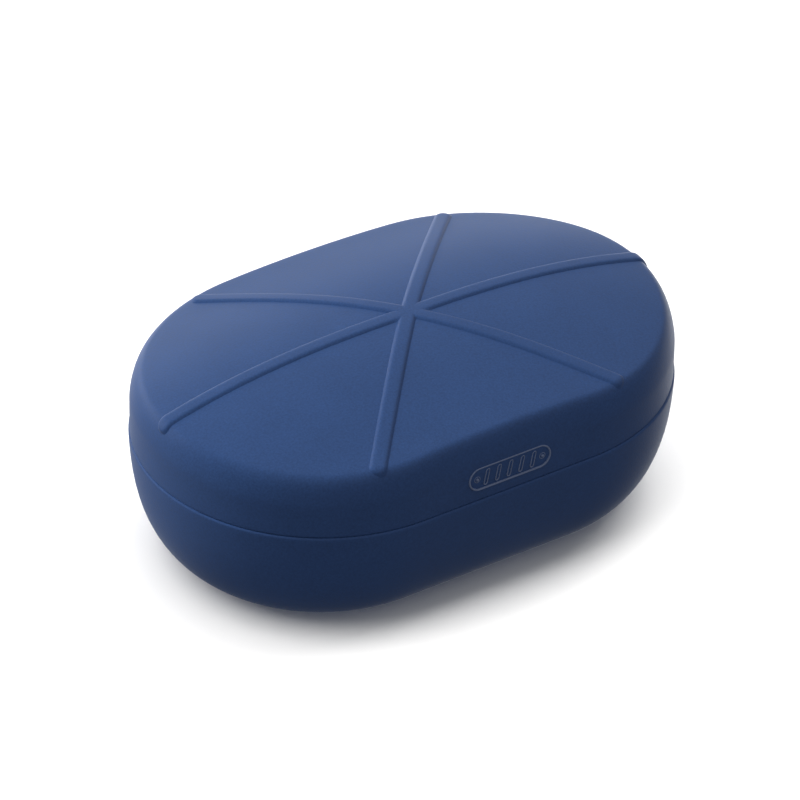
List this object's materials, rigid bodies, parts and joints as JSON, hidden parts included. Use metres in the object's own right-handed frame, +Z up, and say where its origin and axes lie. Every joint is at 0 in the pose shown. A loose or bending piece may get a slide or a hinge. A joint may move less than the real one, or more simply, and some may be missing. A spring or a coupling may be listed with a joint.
{
  "type": "wireless earbuds case",
  "caption": "Oval charging case for earbuds in a soft silicone sleeve with a ribbed hinged lid.",
  "frame": {"origin": "middle of the flat underside that the case stands on", "axes": "+X to the right along the case, -Y the front with the thumb grip, +Y the hinge side, +Z up through the lid"},
  "size_m": [0.066, 0.0437, 0.0274],
  "materials": {
    "silicone": "matte",
    "shell_plastic": "gloss",
    "tray_plastic": "satin",
    "magnet_nickel": "bright nickel plate",
    "hinge_steel": "satin",
    "circuit_board": "solder mask",
    "chip_black": "matte",
    "screw_steel": "satin",
    "battery_foil": "satin foil",
    "foam": "matte",
    "ribbon_film": "satin",
    "nickel_strip": "satin",
    "socket_steel": "satin",
    "socket_plastic": "matte",
    "lamp_white": "gloss",
    "clear_plastic": "gloss",
    "button_plastic": "satin",
    "gold_plate": "polished",
    "spring_steel": "satin"
  },
  "bodies": {
    "lid": {"lid_sleeve": "silicone", "lid_shell": "shell_plastic", "lid_liner": "tray_plastic", "lid_magnet": "magnet_nickel", "lid_hinge_leaf": "hinge_steel"},
    "case": {"base_sleeve": "silicone", "base_shell": "shell_plastic", "base_hinge_leaf": "hinge_steel", "hinge_pin": "hinge_steel", "earbud_tray": "tray_plastic", "base_magnet": "magnet_nickel", "earbud_magnets": "magnet_nickel", "main_board": "circuit_board", "board_chips": "chip_black", "board_screws": "screw_steel", "battery_cell": "battery_foil", "battery_pad": "foam", "deck_ribbon": "ribbon_film", "battery_tabs": "nickel_strip", "usb_shell": "socket_steel", "usb_tongue": "socket_plastic", "deck_board": "circuit_board", "tact_switch": "chip_black", "status_led": "lamp_white", "light_pipe": "clear_plastic", "contact_barrels": "gold_plate", "contact_spring_1": "spring_steel", "contact_spring_2": "spring_steel", "contact_spring_3": "spring_steel", "contact_spring_4": "spring_steel"},
    "contact_1": {"contact_pin_1": "gold_plate"},
    "contact_2": {"contact_pin_2": "gold_plate"},
    "contact_3": {"contact_pin_3": "gold_plate"},
    "contact_4": {"contact_pin_4": "gold_plate"},
    "button": {"pairing_button": "button_plastic"}
  },
  "joints": [
    {"name": "lid_hinge", "type": "hinge", "parent": "case", "child": "lid", "pos_m": [0, 0.0204, 0.0154], "axis": [-1, 0, 0], "range_deg": [0, 100]},
    {"name": "contact_1_travel", "type": "slide", "parent": "case", "child": "contact_1", "axis": [0, 0, -1], "range_m": [0, 0.0008], "stiffness_N_per_m": 400, "springref_m": -0.001, "deforming": ["contact_spring_1"]},
    {"name": "contact_2_travel", "type": "slide", "parent": "case", "child": "contact_2", "axis": [0, 0, -1], "range_m": [0, 0.0008], "stiffness_N_per_m": 400, "springref_m": -0.001, "deforming": ["contact_spring_2"]},
    {"name": "contact_3_travel", "type": "slide", "parent": "case", "child": "contact_3", "axis": [0, 0, -1], "range_m": [0, 0.0008], "stiffness_N_per_m": 400, "springref_m": -0.001, "deforming": ["contact_spring_3"]},
    {"name": "contact_4_travel", "type": "slide", "parent": "case", "child": "contact_4", "axis": [0, 0, -1], "range_m": [0, 0.0008], "stiffness_N_per_m": 400, "springref_m": -0.001, "deforming": ["contact_spring_4"]},
    {"name": "pairing_button_press", "type": "slide", "parent": "case", "child": "button", "axis": [0, 0, -1], "range_m": [0, 0.00025], "stiffness_N_per_m": 2000, "springref_m": -0.0003}
  ]
}
